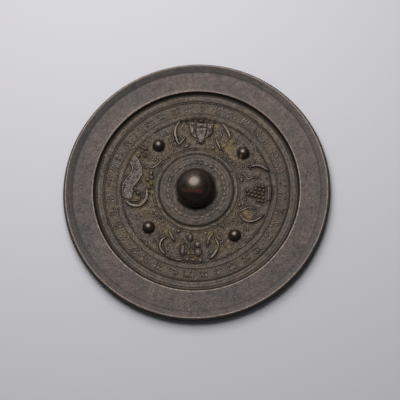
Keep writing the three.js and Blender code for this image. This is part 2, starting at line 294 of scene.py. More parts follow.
# ---- Figures ----
def upper_deity(r):
    """A seated deity with its head to the knob, a beaded seat edge and a wing on each side."""
    r.turn_to(DEITY_UP_TURN)
    r.stroke([(-15, 59.6), (-8, 60.4), (-1.5, 60.8), (6, 60.4), (12.4, 59.2)], 2.6, LOW_RELIEF)
    for i in range(6):
        x = -13.5 + 4.65 * i
        r.bead(x, 61.4 - 0.009 * (x + 1) ** 2, 1.5, RELIEF + 0.2)
    r.plateau([(-11.2, 58), (-10.6, 51.4), (-8.4, 46.8), (-5.2, 44.8), (-2.6, 44.8), (-2.4, 40.2),
               (2.2, 40.2), (2.6, 45), (5.8, 46.4), (8, 50.6), (9.4, 54), (9.2, 58.4)], 1.25)
    for lobe in ((-8, 51, 2.5, 4.8, 8, 2.1), (-8, 56.6, 2.7, 1.7, 0, 2.2),
                 (6.7, 54.6, 2.3, 3.8, -8, 2.1), (6.6, 49.2, 1.6, 3.2, -36, 2),
                 (-0.8, 56.4, 3.8, 1.7, 0, 1.8), (-0.6, 51.4, 2.4, 3.2, 0, 1.7),
                 (0, 42.2, 1.9, 2.6, 0, 2.1)):
        r.lobe(*lobe)
    r.cut([(-5, 57.6), (-5.2, 50), (-4, 46)], 1.1, 0.7)
    r.cut([(3.6, 57.6), (4, 51), (2.6, 46.4)], 1.1, 0.7)
    r.cut([(-4.6, 54.4), (3.4, 54.2)], 0.9, 0.5)
    r.stroke([(-18.4, 59), (-21.4, 54.5), (-22.4, 50), (-21.8, 45.7), (-20, 41.5), (-18, 37.8)], 2.7)
    r.stroke([(-17.8, 38), (-15.8, 41.2), (-13.3, 44.6)], 2.3)
    r.ridge([(-16.2, 55.6), (-17.6, 50.6), (-16.4, 46)], 1.1, 0.6)
    r.stroke([(-13.8, 36.4), (-11.6, 37.2), (-10.2, 38.8)], 2.1, 1.2)
    r.stroke([(16.8, 58.4), (20.4, 54.2), (22.8, 50.1), (23.8, 46.4)], 2.8)
    r.stroke([(22.6, 46.6), (19.8, 42)], 1.8, 1.1)
    r.stroke([(12.2, 45.2), (14.6, 40.6), (16.9, 36.2)], 2.3)
    r.stroke([(17.2, 36.4), (20.6, 40.2), (24.4, 44.2)], 1.5, LOW_RELIEF)
    r.ridge([(14.8, 53.6), (16.6, 49), (15.6, 45.4)], 1.1, 0.6)
    r.bead(10.6, 37.4, 1.7, 1.3)
    for i in range(4):
        r.bead(19 + 0.5 * i, 33.4 + 2.7 * i, 0.85, 0.7)


def lower_deity(r):
    """A second deity, smaller, with sleeves at both sides of a row of folds and lotus-like feet."""
    r.turn_to(DEITY_DOWN_TURN)
    for lobe in ((1, 40.6, 2.1, 3.4, 0, 2), (6.2, 51.6, 2.3, 5, 3, 1.9), (6.8, 46.2, 1.3, 2.4, -20, 1.5),
                 (-6.6, 52.6, 3.1, 3.8, 0, 2.1), (-5.6, 46, 2.4, 3, 20, 1.8)):
        r.lobe(*lobe)
    r.cut([(-9.4, 50.4), (-3.6, 50)], 0.9, 0.6)
    for x in (1, -2.4):
        r.stroke([(x, 47.4), (x, 50.4)], 1.9, 1.2)
        r.lobe(x - 0.1, 54, 1.5, 1.8, 0, 1.3)
    r.ridge([(3.4, 46), (3.4, 55.6)], 1, 0.8)
    for x, y in ((1.8, 59.2), (-3.2, 59.2), (-9, 58.9)):
        r.lobe(x, y, 2.2, 1.8, 0, RELIEF)
    r.ridge([(-6.2, 58.2), (-6.2, 60.8)], 1.1, 1)
    r.stroke([(18.4, 58.6), (12, 59.8), (4.8, 59.8)], 2, 1.1)
    r.stroke([(18.8, 36.2), (16.8, 40), (13.5, 44.6)], 2.4)
    r.stroke([(20.6, 41.4), (24.2, 45), (25, 49.8), (22.6, 54), (20, 56)], 2.5)
    r.stroke([(-17.2, 35.8), (-14.4, 40.2), (-13.6, 45.8)], 2.4)
    r.stroke([(-19.4, 39.4), (-22.2, 44.6), (-21.9, 48.8)], 2.2, 1.5)
    r.stroke([(-21.9, 48.6), (-19.6, 53.2), (-16.8, 56.8)], 3)
    r.ridge([(17.8, 45.2), (19.8, 49.4), (18.4, 53.6)], 1.1, 0.6)
    r.ridge([(-17.6, 44.2), (-18.2, 49), (-15.6, 53)], 1.1, 0.6)
    r.bead(11.1, 36, 1.7, 1.4)
    r.bead(-11.1, 35.8, 1.7, 1.2)


def beast(r):
    """A long beast: a banded body that bends twice and curls into a haunch, a small rider beside it."""
    r.turn_to(BEAST_TURN)
    spine = [(43.6, 40.4), (36.4, 39.8), (31.4, 41.8), (26.8, 47.4), (21.4, 52.4), (15.6, 54)]
    r.stroke(spine, 9.4, 1.15, flank=0.8, thin=0.8)
    r.stroke([(43.8, 43.4), (38.3, 43.1), (34.6, 43.8), (31.4, 46.8), (28.4, 51.6), (24.6, 55.4),
              (19.4, 57.6), (13.6, 58.5)], 1.9, 1.5, thin=0.8)
    r.stroke([(42.8, 37.7), (37.7, 36.6), (33, 36.5), (28.9, 38), (25.4, 41), (22.4, 45.6),
              (19.6, 49)], 1.9, 1.5, thin=0.8)
    back = smooth_line(spine, 4)
    for (x0, y0), (x1, y1) in zip(back[1:-2], back[2:-1]):
        side = np.array([y0 - y1, x1 - x0]) / math.hypot(x1 - x0, y1 - y0)
        middle = np.array([x0, y0])
        r.cut([middle - 2.9 * side, middle + 0.5 * np.array([x1 - x0, y1 - y0]) + 2.9 * side], 0.9, 0.18)
    for i, x in enumerate((41.6, 39.2, 36.8, 34.4)):
        r.bead(x, 40.3 - 0.08 * i, 1.15, 1.6)
    for x, y, lean in ((51.2, 30.5, 30), (47.2, 31.1, -20), (44.5, 35.1, 50), (43.3, 30.6, 10),
                       (48.6, 27.8, 60)):
        r.lobe(x, y, 2.3, 1.5, lean, 1.7)
    r.ridge([(49.6, 33.2), (53, 36.4), (52.4, 40)], 1.2, 0.7)
    r.stroke([(11.2, 57.2), (7.4, 55.4), (4.6, 51.2), (4.2, 46.4), (6.6, 42), (10.3, 39.6),
              (14.6, 38.2)], 3.2, 1.8)
    r.stroke([(16.6, 55.4), (12, 54.4), (8.8, 51), (8.6, 46.8), (11, 43.6)], 1.7, 1.2)
    r.stroke([(14, 51.8), (17, 49.6), (17.2, 46)], 1.6, 1.2)
    r.bead(14.2, 45.8, 1.7, 1.9)
    for lobe in ((26.8, 30.2, 1.5, 2.6, 66, 1.6), (23.2, 31.4, 2.1, 1.7, 30, 1.5),
                 (22.6, 34.8, 2.4, 1.8, 0, 1.7), (18, 33.2, 2.2, 1.6, 40, 1.6),
                 (16, 36, 2.4, 1.5, 10, 1.7)):
        r.lobe(*lobe)
    r.stroke([(33, 35.4), (32.8, 31), (30.9, 27.4), (31.8, 23.2), (34, 19.3), (34.6, 15.6)], 1.9, 1)


def bird(r):
    """A phoenix: a body of beads like feathers, crescent wings and a flat tail bar by the rim."""
    r.turn_to(BIRD_TURN)
    pitch = 3.15
    for row in range(5):
        for place in range(5):
            x = -5.4 + pitch * row + 0.75 * (place - 2)
            y = 42.2 + pitch * place + 0.5 * (row % 2) + 0.35 * (row - 2) ** 2 * (place < 2)
            if abs(x - 1.4) < 2.6 + 1.4 * place:
                r.bead(x, y, 1.5, 1.9)
    r.stroke([(-20.4, 43.4), (-22.2, 47.8), (-21.7, 52.4), (-19.8, 56), (-17.8, 59.2)], 2.5, 1.9)
    r.stroke([(-15.4, 35.3), (-15.2, 38.5), (-12.8, 40.6), (-10.4, 42.4), (-11.5, 45.4), (-12.2, 51.2)],
             1.7, 0.8)
    r.stroke([(-4.2, 61), (7, 61.2)], 2.4, 1.3, thin=0.9)
    r.plateau([(-4.4, 58.4), (7.4, 58.6), (7, 61.6), (-4, 61.4)], 0.6)
    r.stroke([(18.8, 35), (22, 38), (24.6, 40.6), (25.9, 44.6), (25, 48.9), (22.8, 52.7), (20.2, 56)], 2.3)
    r.stroke([(18.6, 35.2), (15.6, 39.4), (14.2, 43.4), (14.8, 50)], 1.8, 1)
    r.stroke([(4, 41.4), (9, 40.8), (13.6, 43.6)], 1.6, 0.8)
    r.bead(-9.7, 37.1, 1.8, 1.3)
    r.bead(11.6, 36.1, 1.7, 1.4)
    r.ridge([(17.6, 50.6), (20.4, 47.2), (19.8, 43.6)], 1.1, 0.7)


# ---- Small ornament ----
def nipple_surrounds(r):
    """Thin rings, an arc of small beads and a fan of fine strokes round each nipple."""
    for i in range(NIPPLES):
        r.turn_to(NIPPLE_TURN + 90 * i)
        gap = np.hypot(r.x, r.y - NIPPLE_CIRCLE)
        seat = NIPPLE_SEAT_RISE * soft_step((NIPPLE_SEAT_RADIUS - gap) / 0.6 + 0.5)
        for radius in (9.4, 10.6):
            seat = seat + 0.28 * np.clip(1 - ((gap - radius) / 0.5) ** 2, 0, 1)
        inside = np.nonzero(gap < 12)[0]
        r.lift(inside, seat[inside])
        for k in range(-6, 7):
            a = math.radians(-90 + 17 * k)
            r.bead(12.2 * math.cos(a), NIPPLE_CIRCLE + 12.2 * math.sin(a), 0.95, 0.75)
        for k in range(-5, 6):
            a = math.radians(90 + 11 * k)
            near = (11.6 * math.cos(a), NIPPLE_CIRCLE + 11.6 * math.sin(a))
            far = min(60.4, NIPPLE_CIRCLE + 11 * math.sin(a))
            if far > near[1] or abs(k) > 3:
                tip = (15.6 * math.cos(a), min(60.4, NIPPLE_CIRCLE + 14.4 * math.sin(a)))
                r.ridge([near, tip], 0.8, 0.5)
            else:
                r.bead(near[0], min(60.2, near[1]), 0.6, 0.4)


def signs(r):
    """Each place in the band holds rows of short shallow bars that all lean one way, not a letter."""
    rng = np.random.default_rng(11)
    for i in range(SIGNS):
        r.turn_to(360 / SIGNS * (i + 0.5) + rng.uniform(-0.5, 0.5))
        lean = math.radians(90 + rng.uniform(24, 42) * rng.choice([-1, 1]))
        rise = rng.uniform(0.6, 0.85)
        for v in (-1.75, 1.75):
            for u in (-2.5, 0, 2.5):
                if rng.random() < 0.1:
                    continue
                half = rng.uniform(0.75, 1.25)
                u0, v0 = u + rng.uniform(-0.2, 0.2), SIGN_CIRCLE + v + rng.uniform(-0.3, 0.3)
                du, dv = half * math.cos(lean), half * abs(math.sin(lean))
                bar = [(u0 - du, v0 - dv), (u0 + du, v0 + dv)]
                r.stroke(bar, 1.3, rise * rng.uniform(0.75, 1), flank=0.45, thin=0.9)


def chased_lines(r):
    """Fine low lines that follow the forms across the ground between the figures."""
    x, y = r.plane_x, r.plane_y
    radius, turn = polar(x, y)
    along = np.where(r.clear < REACH - 0.4, r.clear, radius - 35)
    broken = 0.62 + 0.38 * np.sin(0.9 * x + 2.3 * np.sin(0.5 * y)) * np.sin(0.8 * y + 1)
    lines = 0.5 + 0.5 * np.cos(2 * np.pi * (along - 0.85) / CHASED_PITCH)
    ground = between(radius, FIGURE_IN, FIGURE_OUT, 0.8) * soft_step((r.clear - 0.2) / 0.5)
    r.height = np.maximum(r.height, CHASED_RISE * ground * broken * lines)
    signs_ground = between(radius, SIGN_IN, SIGN_OUT, 0.5) * soft_step((r.clear - 0.3) / 0.5)
    ticks = np.sin(130 * turn + 3 * np.sin(radius)) * np.sin(2.9 * radius + 2 * np.sin(23 * turn))
    r.height = np.maximum(r.height, TICK_RISE * signs_ground * ticks)


def comb_teeth(r):
    """A band of low fine teeth at the foot of the rim's wall."""
    radius, turn = polar(r.plane_x, r.plane_y)
    tooth = 0.5 + 0.5 * np.cos(COMB_TEETH * turn)
    r.height = np.maximum(r.height, COMB_RISE * between(radius, COMB_IN, COMB_OUT, 0.5) * tooth)


def knob_beads(r):
    """A ring of long beads round the knob."""
    rng = np.random.default_rng(5)
    for i in range(KNOB_BEADS):
        r.turn_to(360 / KNOB_BEADS * (i + 0.25))
        worn = 0.85 + 0.35 * math.sin(2 * math.pi * (i + 0.25) / KNOB_BEADS)
        r.lobe(0, KNOB_BEAD_RING, 1.75, 1.05, rng.uniform(-8, 8), worn * rng.uniform(0.42, 0.65))


def raised_forms(x, y):
    """All the relief of the back at points in millimetres."""
    r = Relief(x.copy(), y.copy())
    knob_beads(r)
    nipple_surrounds(r)
    for figure in (upper_deity, lower_deity, beast, bird):
        figure(r)
    signs(r)
    chased_lines(r)
    comb_teeth(r)
    return r


def carve(piece):
    """Raises the figures and ornament out of a band of the back."""
    count = len(piece.data.vertices)
    flat = np.zeros(count * 3)
    piece.data.vertices.foreach_get("co", flat)
    place = flat.reshape(-1, 3) / MM
    place[:, 2] += raised_forms(place[:, 0], place[:, 1]).height
    piece.data.vertices.foreach_set("co", (place * MM).ravel())
    piece.data.update()


# ---- Modelling helpers ----
def only(*objects):
    """Selects these objects alone and makes the first one active."""
    bpy.ops.object.select_all(action="DESELECT")
    for item in objects:
        item.select_set(True)
    bpy.context.view_layer.objects.active = objects[0]


def new_piece(name, points, edges, faces):
    """A new object from points in millimetres."""
    mesh = bpy.data.meshes.new(name)
    mesh.from_pydata([(x * MM, y * MM, z * MM) for x, y, z in points], edges, faces)
    piece = bpy.data.objects.new(name, mesh)
    bpy.context.collection.objects.link(piece)
    only(piece)
    return piece


def face_outwards(piece):
    only(piece)
    bpy.ops.object.mode_set(mode="EDIT")
    bpy.ops.mesh.select_all(action="SELECT")
    bpy.ops.mesh.normals_make_consistent(inside=False)
    bpy.ops.object.mode_set(mode="OBJECT")
    return piece


def turned(name, outline, sides):
    """A band turned about Z from an outline of [radius, height] points in millimetres."""
    points = [(radius, 0, height) for radius, height in outline]
    piece = new_piece(name, points, [(i, i + 1) for i in range(len(points) - 1)], [])
    screw = piece.modifiers.new("turning", "SCREW")
    screw.steps = screw.render_steps = sides
    screw.use_merge_vertices = True
    screw.merge_threshold = 1e-7
    bpy.ops.object.modifier_apply(modifier=screw.name)
    return face_outwards(piece)


def joined(pieces):
    only(*pieces)
    bpy.ops.object.join()
    return bpy.context.object


def open_rim(mesh, radius):
    """The vertices of the open rim at this radius in millimetres, in turn order."""
    rim = {v for e in mesh.edges if e.is_boundary for v in e.verts}
    rim = [v for v in rim if abs(math.hypot(v.co.x, v.co.y) / MM - radius) < 0.05]
    return sorted(rim, key=lambda v: math.atan2(v.co.y, v.co.x))


def stitch(piece, gaps):
    """Closes the gaps between bands of different fineness with a strip of triangles each."""
    mesh = bmesh.new()
    mesh.from_mesh(piece.data)
    for radius_in, radius_out in gaps:
        inner, outer = open_rim(mesh, radius_in), open_rim(mesh, radius_out)
        a = b = 0
        while a < len(inner) or b < len(outer):
            here, there = inner[a % len(inner)], outer[b % len(outer)]
            if b >= len(outer) or (a < len(inner) and (a + 0.5) / len(inner) <= (b + 0.5) / len(outer)):
                a += 1
                third = inner[a % len(inner)]
            else:
                b += 1
                third = outer[b % len(outer)]
            mesh.faces.new((here, there, third))
    bmesh.ops.recalc_face_normals(mesh, faces=mesh.faces)
    mesh.to_mesh(piece.data)
    mesh.free()


def boolean(piece, tool, operation):
    modifier = piece.modifiers.new(operation.lower(), "BOOLEAN")
    modifier.operation = operation
    modifier.solver = "MANIFOLD"
    modifier.object = tool
    only(piece)
    bpy.ops.object.modifier_apply(modifier=modifier.name)
    bpy.data.objects.remove(tool)


# ---- The casting ----
def ring_radii(start, stop, pitch):
    """Evenly spaced rings, with closer ones at corners and cut lines."""
    corners = [SEAT_RADIUS - EDGE_ROUND, SEAT_RADIUS, WALL_FOOT_RADIUS, RIM_INNER_RADIUS, CREASE_RADIUS]
    fine = [line + s for line, half, _ in LINES for s in (-half, 0, half)]
    fine += [corner + s for corner in corners for s in (-0.3, 0, 0.3)]
    fine += [WALL_BEND_RADIUS, WALL_BEND_RADIUS + 0.3]
    fine += [radius + s for radius, half, _, _ in RINGS if half < 1 for s in (-half, 0, half)]
    fine += [RIDGE_RADIUS + s for s in (-0.75, -0.5, -0.3, -0.1, 0.1, 0.25, 0.42)]
    even = np.linspace(start, stop, int(round((stop - start) / pitch)) + 1)
    even = [e for e in even if all(abs(e - f) > 0.12 for f in fine)]
    kept = sorted({start, stop, *even, *[f for f in fine if start < f < stop]})
    spaced = [kept[0]]
    for radius in kept[1:]:
        if radius - spaced[-1] > 0.1:
            spaced.append(radius)
    spaced[-1] = stop
    return np.array(spaced)


def band(name, start, stop, pitch, sides):
    radii = ring_radii(start, stop, pitch)
    return turned(name, list(zip(radii, back_height(radii))), sides)


def dome(name, radius, stilt, sides, rings, middle):
    """A stilted dome with a root, standing at a middle point in millimetres."""
    x, y, base = middle
    quarter = [math.pi / 2 * i / rings for i in range(rings + 1)]
    outline = [(radius * math.sin(a), base + stilt + radius * math.cos(a)) for a in quarter]
    outline += [(radius, base - ROOT), (0, base - ROOT)]
    piece = turned(name, outline, sides)
    piece.data.transform(Matrix.Translation((x * MM, y * MM, 0)))
    return piece


def cord_hole():
    """The arched prism that the hole through the knob is cut with."""
    base = PLATE + SEAT_RISE - 0.04
    half = HOLE_WIDTH / 2
    arch = [(-half, 0), (half, 0)]
    arch += [(half * math.cos(a), HOLE_HEIGHT - half + half * math.sin(a))
             for a in np.linspace(0, math.pi, 25)]
    reach = KNOB_RADIUS + 1
    count = len(arch)
    points = [(x, y, base + z) for x in (-reach, reach) for y, z in arch]
    sides = [(i, (i + 1) % count, count + (i + 1) % count, count + i) for i in range(count)]
    ends = [tuple(range(count))[::-1], tuple(range(count, 2 * count))]
    return face_outwards(new_piece("cord_hole", points, [], ends + sides))


def casting():
    """The whole mirror as one closed mesh: bands of the back, the face, then the knob and nipples."""
    inner = band("seat", CORE_RADIUS, 31, 0.58, 300)
    middle = band("inner_figures", 31.25, 47, 0.5, 560)
    outer = band("outer_figures", 47.3, 83.2, 0.59, 720)
    rim = band("rim", 83.5, FACE_RADIUS, 1.3, 420)
    for piece in (inner, middle, outer):
        carve(piece)
    under = [FACE_RADIUS - EDGE_ROUND, 104, 96, 86, 74, 60, 44, FLAT_SPOT_RADIUS]
    face = turned("face", [*[(r, float(face_height(r))) for r in under], (0, 0)], 240)
    seat = PLATE + SEAT_RISE
    core = turned("core", [(CORE_RADIUS - 0.3, seat), (0, seat)], 60)
    piece = joined([inner, middle, outer, rim, face, core])
    piece.name = piece.data.name = "mirror_bronze"
    stitch(piece, [(CORE_RADIUS - 0.3, CORE_RADIUS), (31, 31.25), (47, 47.3), (83.2, 83.5),
                   (FACE_RADIUS, FACE_RADIUS - EDGE_ROUND)])
    boolean(piece, dome("knob", KNOB_RADIUS, KNOB_STILT, 84, 20, (0, KNOB_SHIFT, seat)), "UNION")
    ground = float(ground_height(NIPPLE_CIRCLE))
    for i in range(NIPPLES):
        a = math.radians(NIPPLE_TURN + 90 * i)
        place = NIPPLE_CIRCLE * math.cos(a), NIPPLE_CIRCLE * math.sin(a), ground
        boolean(piece, dome("nipple", NIPPLE_RADIUS, 0, 40, 10, place), "UNION")
    boolean(piece, cord_hole(), "DIFFERENCE")
    return piece


# ---- Studio ----
VIEW_ELEVATION = 73.9
VIEW_AZIMUTH = 1.0
VIEW_ROLL = 11.0
VIEW_DISTANCE = 0.95
VIEW_LENS = 103.4
FRAME_RIGHT = 2.9 * MM  # how far the middle of the frame lies to the right of the mirror's middle
FRAME_DOWN = 7.3 * MM
LIGHT_TILT = 26
LIGHT_DISTANCE = 0.76


def studio_camera():
    data = bpy.data.cameras.new("camera")
    data.lens = VIEW_LENS
    camera = bpy.data.objects.new("camera", data)
    bpy.context.collection.objects.link(camera)
    a, e = math.radians(VIEW_AZIMUTH), math.radians(VIEW_ELEVATION)
    back = Vector((math.sin(a) * math.cos(e), -math.cos(a) * math.cos(e), math.sin(e)))
    level = (-back).to_track_quat("-Z", "Y").to_matrix()
    turn = level @ Matrix.Rotation(math.radians(-VIEW_ROLL), 3, "Z")
    right, up = turn.col[0], turn.col[1]
    camera.rotation_mode = "QUATERNION"
    camera.rotation_quaternion = turn.to_quaternion()
    camera.location = right * FRAME_RIGHT - up * FRAME_DOWN + back * VIEW_DISTANCE
    bpy.context.scene.camera = camera


def area_light(name, shape, size, energy, place):
    """A soft light at a place, turned to the mirror."""
    data = bpy.data.lights.new(name, "AREA")
    data.shape = shape
    data.size, data.size_y = size
    data.energy = energy
    light = bpy.data.objects.new(name, data)
    bpy.context.collection.objects.link(light)
    light.location = place
    light.rotation_mode = "QUATERNION"
    light.rotation_quaternion = (-place).to_track_quat("-Z", "Y")


def studio_lights():
    """A softbox high behind the mirror, and a low pale board that the glossy bosses pick up."""
    tilt = math.radians(LIGHT_TILT)
    direction = Vector((-0.05, math.sin(tilt), math.cos(tilt))).normalized()
    area_light("softbox", "DISK", (0.72, 0.72), 5.05, direction * LIGHT_DISTANCE)
    area_light("bounce", "RECTANGLE", (2.4, 1), 2.2, Vector((-0.35, 1.6, 0.55)))


def studio_world():
    world = bpy.data.worlds.new("studio")
    world.use_nodes = True
    background = world.node_tree.nodes["Background"]
    background.inputs["Color"].default_value = (0.9, 0.95, 1, 1)
    background.inputs["Strength"].default_value = 0.06
    bpy.context.scene.world = world


def studio_floor():
    bpy.ops.object.select_all(action="DESELECT")
    bpy.ops.mesh.primitive_plane_add(size=8, location=(0, 0, 0))
    floor = bpy.context.object
    floor.name = "floor"
    material = bpy.data.materials.new("pale_paper")
    material.use_nodes = True
    shader = material.node_tree.nodes["Principled BSDF"]
    shader.inputs["Base Color"].default_value = (0.8, 0.785, 0.82, 1)
    shader.inputs["Roughness"].default_value = 0.9
    shader.inputs["IOR"].default_value = 1.2
    floor.data.materials.append(material)


# ---- Wear, dirt and painted shade, read off the finished form ----
RED_STREAK = [(-10, -3), (-6, -4.6), (-1, -6), (4, -7.2)]  # a red streak across the knob
STREAK_REACH = 4.2
SIGN_BAND = [(66.3, 0), (66.9, 1), (75, 1), (75.6, 0)]
# Patches of ochre earth: x, y and reach
DEPOSITS = [
    (34.2, 31.5, 2.3), (32.8, 29, 2.3), (32.6, 26, 2.2), (33.4, 23.2, 2), (35.2, 21, 1.6),
    (30.2, 32.4, 2.8), (32.8, 34.6, 2.6), (35.4, 36.6, 2.1), (30.8, 29.6, 2.5), (28.6, 34.6, 1.6),
    (36.9, -25.9, 2.6), (39.5, -29.8, 2.4), (18.3, -51.9, 1.4), (-38, 10.4, 2.4), (-36, 5, 1.6),
    (-50, 2.3, 1.4), (-66.4, -2.3, 1.1), (-69.3, 43.6, 1.2), (-63.4, 46.4, 1.1), (-61.1, -29, 1.1),
    (12, 61, 1.6), (26, 52, 1.8), (-16, 50, 1.5), (41, 21, 1.4), (-30, -30, 1.8), (-14, -47, 1.3),
    (4, -38, 1.4),
]


def spread_over(values, edges, rounds):
    """Each vertex's value averaged with its neighbours' again and again."""
    count = np.bincount(edges.ravel(), minlength=len(values))
    for _ in range(rounds):
        total = np.bincount(edges[:, 0], values[edges[:, 1]], len(values))
        total += np.bincount(edges[:, 1], values[edges[:, 0]], len(values))
        values = (values + total) / (count + 1)
    return values


class Surface:
    """The vertices of the finished mirror: where they lie, and what form stands there."""

    def __init__(self, mesh):
        flat = np.zeros(len(mesh.vertices) * 3)
        mesh.vertices.foreach_get("co", flat)
        self.x, self.y, self.height = (flat.reshape(-1, 3) / MM).T
        edges = np.zeros(len(mesh.edges) * 2, np.int64)
        mesh.edges.foreach_get("vertices", edges)
        self.edges = edges.reshape(-1, 2)
        self.radius, turn = polar(self.x, self.y)
        self.turn = np.degrees(turn) % 360
        self.on_back = 1.0 * (self.height > face_height(self.radius) + 0.5)
        self.forms = raised_forms(self.x, self.y)
        self.small = self.ring((21.5, 0), (22, 1), (25.4, 1), (25.9, 0), *SIGN_BAND)
        rise = (self.forms.height - 0.35 + 0.2 * self.small) / (0.5 - 0.2 * self.small)
        self.raised = soft_step(rise) * self.on_back
        # The rim's inner wall, where painted shade goes.
        self.wall = self.ring((83.4, 0), (84, 1), (84.8, 1), (85, 0)) * self.on_back

    def ring(self, *pairs):
        """A value that changes with the radius."""
        return stops(self.radius, *pairs)

    def sweep(self, *pairs):
        """A value that changes with the turn."""
        return stops(self.turn, *pairs)

    def sunk(self, rounds):
        """How far each vertex lies below its neighbourhood."""
        return spread_over(self.height, self.edges, rounds) - self.height


def hollows(at):
    """Where dirt and painted shade lie: below the ground round it; painted shadow at the foot of the wall;
    painted shade on the wall, under the edge and at the seat's step.
    """
    # Dirt and painted shade in recesses: how far each vertex lies below its neighbours.
    hollow = np.clip(at.sunk(4) / 0.22, 0, 1) * 0.55 + np.clip(at.sunk(26) / 0.45, 0, 1) * 0.75
    hollow *= at.ring((96, 1), (100, 0.45), (104, 0.45), (106, 1))
    # Painted shadow of the rim's wall on its foot: darker on the far side, where the wall stands between
    # the foot and the light.
    foot = at.ring((80.6, 0), (81.6, 1), (83.6, 1), (84, 0))
    shade = at.sweep((0, 0.7), (30, 1), (190, 1), (230, 0.35), (330, 0.35), (360, 0.7))
    hollow = hollow * (1 - foot) + 0.55 * shade * foot * at.on_back
    hollow = np.where(at.radius < 78, 0.85 * hollow, hollow)
    # Painted shade on the rim's inner wall.
    hollow = np.maximum(hollow, 1.1 * at.wall)
    # Painted shade on the outer wall below the ridge.
    hollow = np.maximum(hollow, at.ring((108.4, 0), (108.8, 0.9), (110, 1)) * at.on_back)
    # Painted shade at the outer step of the knob's seat.
    hollow += at.ring((29.5, 0.1), (31, 0)) * at.on_back
    hollow *= 1 - at.ring((22, 0), (24, 0.4), (26, 0), (56, 0), (58, 0.35), (61.5, 0.35), (63, 0),
                          (67, 0.75), (74, 0.75), (76, 0))
    return hollow + 0.22 * at.ring(*SIGN_BAND) * (1 - at.raised) * at.on_back


def crests(at):
    """Where the metal is rubbed bright: above the ground round it, on the ridge and on the lip."""
    crest = np.clip(-at.sunk(4) / 0.2, 0, 1) * 0.6 + np.clip(-at.sunk(26) / 0.7, 0, 1) * 0.6
    crest *= at.ring((100, 1), (101, 0.3), (107, 0.3), (107.6, 1))
    crest += 1.4 * np.exp(-(((at.radius - RIDGE_RADIUS) / 0.35) ** 2))
    crest += 0.35 * np.exp(-(((at.radius - RIM_INNER_RADIUS - 0.3) / 0.35) ** 2))
    crest = np.where(at.radius < 30, 0.8 * crest, crest) * (1 - at.wall)
    crest *= at.ring((36, 1), (38, 0.85), (59, 0.85), (61, 1))
    crest += np.where(at.radius < 30, 0.95, 0.85) * at.small * at.raised
    lip = at.ring((85, 0), (86, 1), (92, 0)) * at.sweep((50, 0), (85, 1), (120, 1), (150, 0))
    return crest + 0.22 * lip * at.on_back


def cool_skin(at):
    """Where the grey-green skin lies: on the outer band, the upper left of the rim and the seat."""
    cool = at.ring((89, 0), (97, 0.4), (100.6, 0.4), (102, 1), (106.8, 1), (107.6, 0)) * at.on_back
    cool *= at.sweep((0, 0.5), (60, 0.5), (110, 1), (185, 1), (230, 0.5), (360, 0.5))
    cool += at.ring((16.6, 0.32), (17.6, 0.5), (30.5, 0.5), (31.5, 0)) * at.on_back
    rim = (at.radius > 60) * (at.radius < 101)
    return cool * (1 - rim * at.sweep((0, 1), (80, 1), (115, 0), (185, 0), (215, 1), (360, 1)))


def deposits(at):
    deposit = np.zeros(len(at.x))
    for x, y, reach in DEPOSITS:
        deposit = np.maximum(deposit, 1 - np.hypot(at.x - x, at.y - y) / (2 * reach))
    return deposit * at.on_back * (1 - 0.6 * at.raised)


def red_streak(at):
    at.forms.turn_to(90)
    gap, _ = at.forms.line_distance(np.arange(len(at.x)), smooth_line(RED_STREAK))
    return 1 - gap / STREAK_REACH


def mark_wear_and_shade(piece):
    """Stores on the mesh where dirt and painted shade, rubbed metal, earth and the other tones of the
    finish lie.
    """
    at = Surface(piece.data)
    marks = {"hollow": hollows(at), "crest": crests(at), "raised": at.raised, "cool": cool_skin(at),
             "deposit": deposits(at), "streak": red_streak(at)}
    marks["earthy"] = at.ring((17, 0.35), (31, 0.6), (36, 1), (60, 1), (66, 0.65), (76, 0.55),
                              (81, 0.4), (82.5, 0))
    marks = {name: np.clip(values, 0, 1) for name, values in marks.items()}
    marks["clear"] = np.clip(at.forms.clear, -1, 9)
    for name, values in marks.items():
        layer = piece.data.attributes.new(name, "FLOAT", "POINT")
        layer.data.foreach_set("value", values.astype(np.float32))


RIM, GROUND, BOSS, FACE, EDGE = range(5)


def zone_of(middle, normal):
    """Which finish a face gets."""
    x, y, height = (c / MM for c in middle)
    radius = math.hypot(x, y)
    if normal.z < -0.2 and height < face_height(radius) + 0.3:
        return FACE
    if math.hypot(x, y - KNOB_SHIFT) < KNOB_RADIUS + 0.1 and height > PLATE + SEAT_RISE + 0.1:
        return BOSS
    turn = math.degrees(math.atan2(y, x)) - NIPPLE_TURN
    off = math.radians((turn + 45) % 90 - 45)
    gap = math.hypot(radius * math.cos(off) - NIPPLE_CIRCLE, radius * math.sin(off))
    ground = ground_height(NIPPLE_CIRCLE)
    if gap < NIPPLE_RADIUS + 0.05 and height > ground + NIPPLE_SEAT_RISE + 0.1:
        return BOSS
    if radius > RIDGE_RADIUS + 0.45:
        return EDGE
    return RIM if radius > RIM_INNER_RADIUS - 0.6 else GROUND


# ---- Materials ----
# Fine turned threads: radius and half width
THREADS = [(31.3, 0.3), (34.3, 0.35), (36.4, 0.35), (61.9, 0.42), (66.3, 0.42), (76, 0.42), (77.3, 0.3)]
RAISED_TONE = (0.135, 0.11, 0.098)  # cast forms, handled more than the ground between them
COOL_TONE = (0.026, 0.027, 0.026)  # a grey-green skin on the outer band
OCHRE = (0.2, 0.125, 0.045)
BRIGHT_EARTH = (0.32, 0.22, 0.1)
# Near-black laid in hollows: dirt, and painted shade in recesses and on the walls.
DIRT_AND_SHADE = (0.016, 0.012, 0.008)
RUBBED_METAL = (0.24, 0.185, 0.155)
CORROSION = (0.03, 0.038, 0.032)
# The red of the streak across the knob.
RED_STREAK_TONE = (0.12, 0.016, 0.012)
